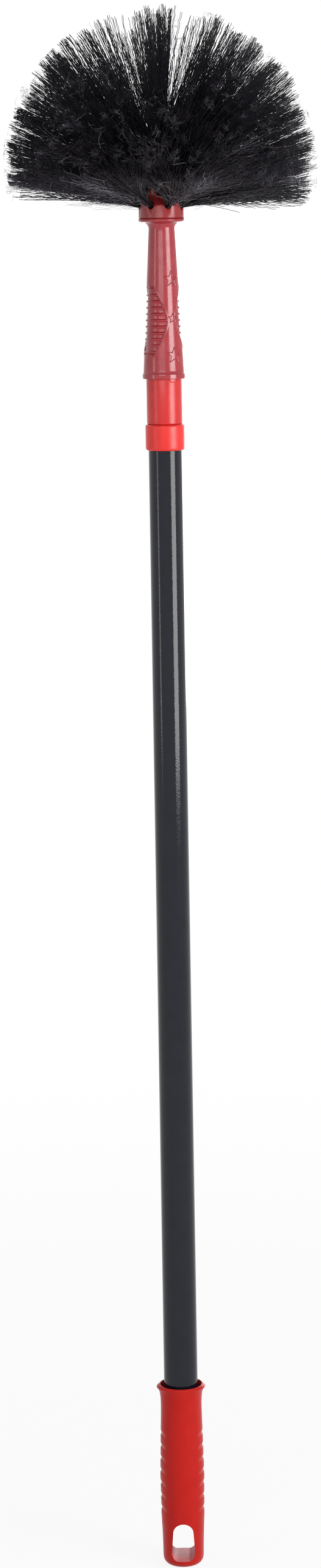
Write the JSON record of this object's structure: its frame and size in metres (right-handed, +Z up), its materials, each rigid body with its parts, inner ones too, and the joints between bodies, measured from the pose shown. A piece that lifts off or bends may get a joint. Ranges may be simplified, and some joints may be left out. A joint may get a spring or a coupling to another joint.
{
  "type": "cobweb brush",
  "caption": "Extendable cobweb brush: round head of dark bristles on a red ribbed socket, black two-tube pole with twist lock, red grip with hanging slot.",
  "frame": {"origin": "centre of the grip's lower end, on the pole's axis", "axes": "+Z up along the pole towards the brush head, -Y towards the front with the hanging slot's mouth, +X to the right of the front view"},
  "size_m": [0.2028, 0.2028, 1.0198],
  "materials": {
    "grip_red": "moulded, satin",
    "pole_black": "pebbled plastic coating",
    "collar_red": "moulded, satin",
    "sleeve_red": "moulded, satin",
    "tube_steel": "lacquered steel",
    "lock_plastic": "moulded",
    "socket_red": "moulded, semi-gloss",
    "block_red": "moulded, satin",
    "anchor_metal": "flat wire",
    "bristle": "crimped fibres"
  },
  "bodies": {
    "pole": {"outer_tube": "pole_black", "hand_grip": "grip_red", "guide_collar": "collar_red"},
    "lock_ring": {"lock_cam_ring": "lock_plastic"},
    "inner_pole": {"inner_tube": "tube_steel", "lock_plug": "lock_plastic", "pole_adaptor": "sleeve_red"},
    "brush_head": {"head_socket": "socket_red", "brush_block": "block_red", "tuft_anchors": "anchor_metal", "tuft_row_1": "bristle", "tuft_row_2": "bristle", "tuft_row_3": "bristle", "tuft_row_4": "bristle", "tuft_row_5": "bristle", "tuft_top": "bristle"}
  },
  "joints": [
    {"name": "extend", "type": "slide", "parent": "pole", "child": "lock_ring", "axis": [0, 0, 1], "range_m": [0, 0.54]},
    {"name": "twist_lock", "type": "hinge", "parent": "lock_ring", "child": "inner_pole", "pos_m": [0, 0, 0.1], "axis": [0, 0, 1], "range_deg": [0, 60]},
    {"name": "head_off", "type": "slide", "parent": "inner_pole", "child": "brush_head", "axis": [0, 0, 1], "range_m": [0, 0.04]}
  ]
}
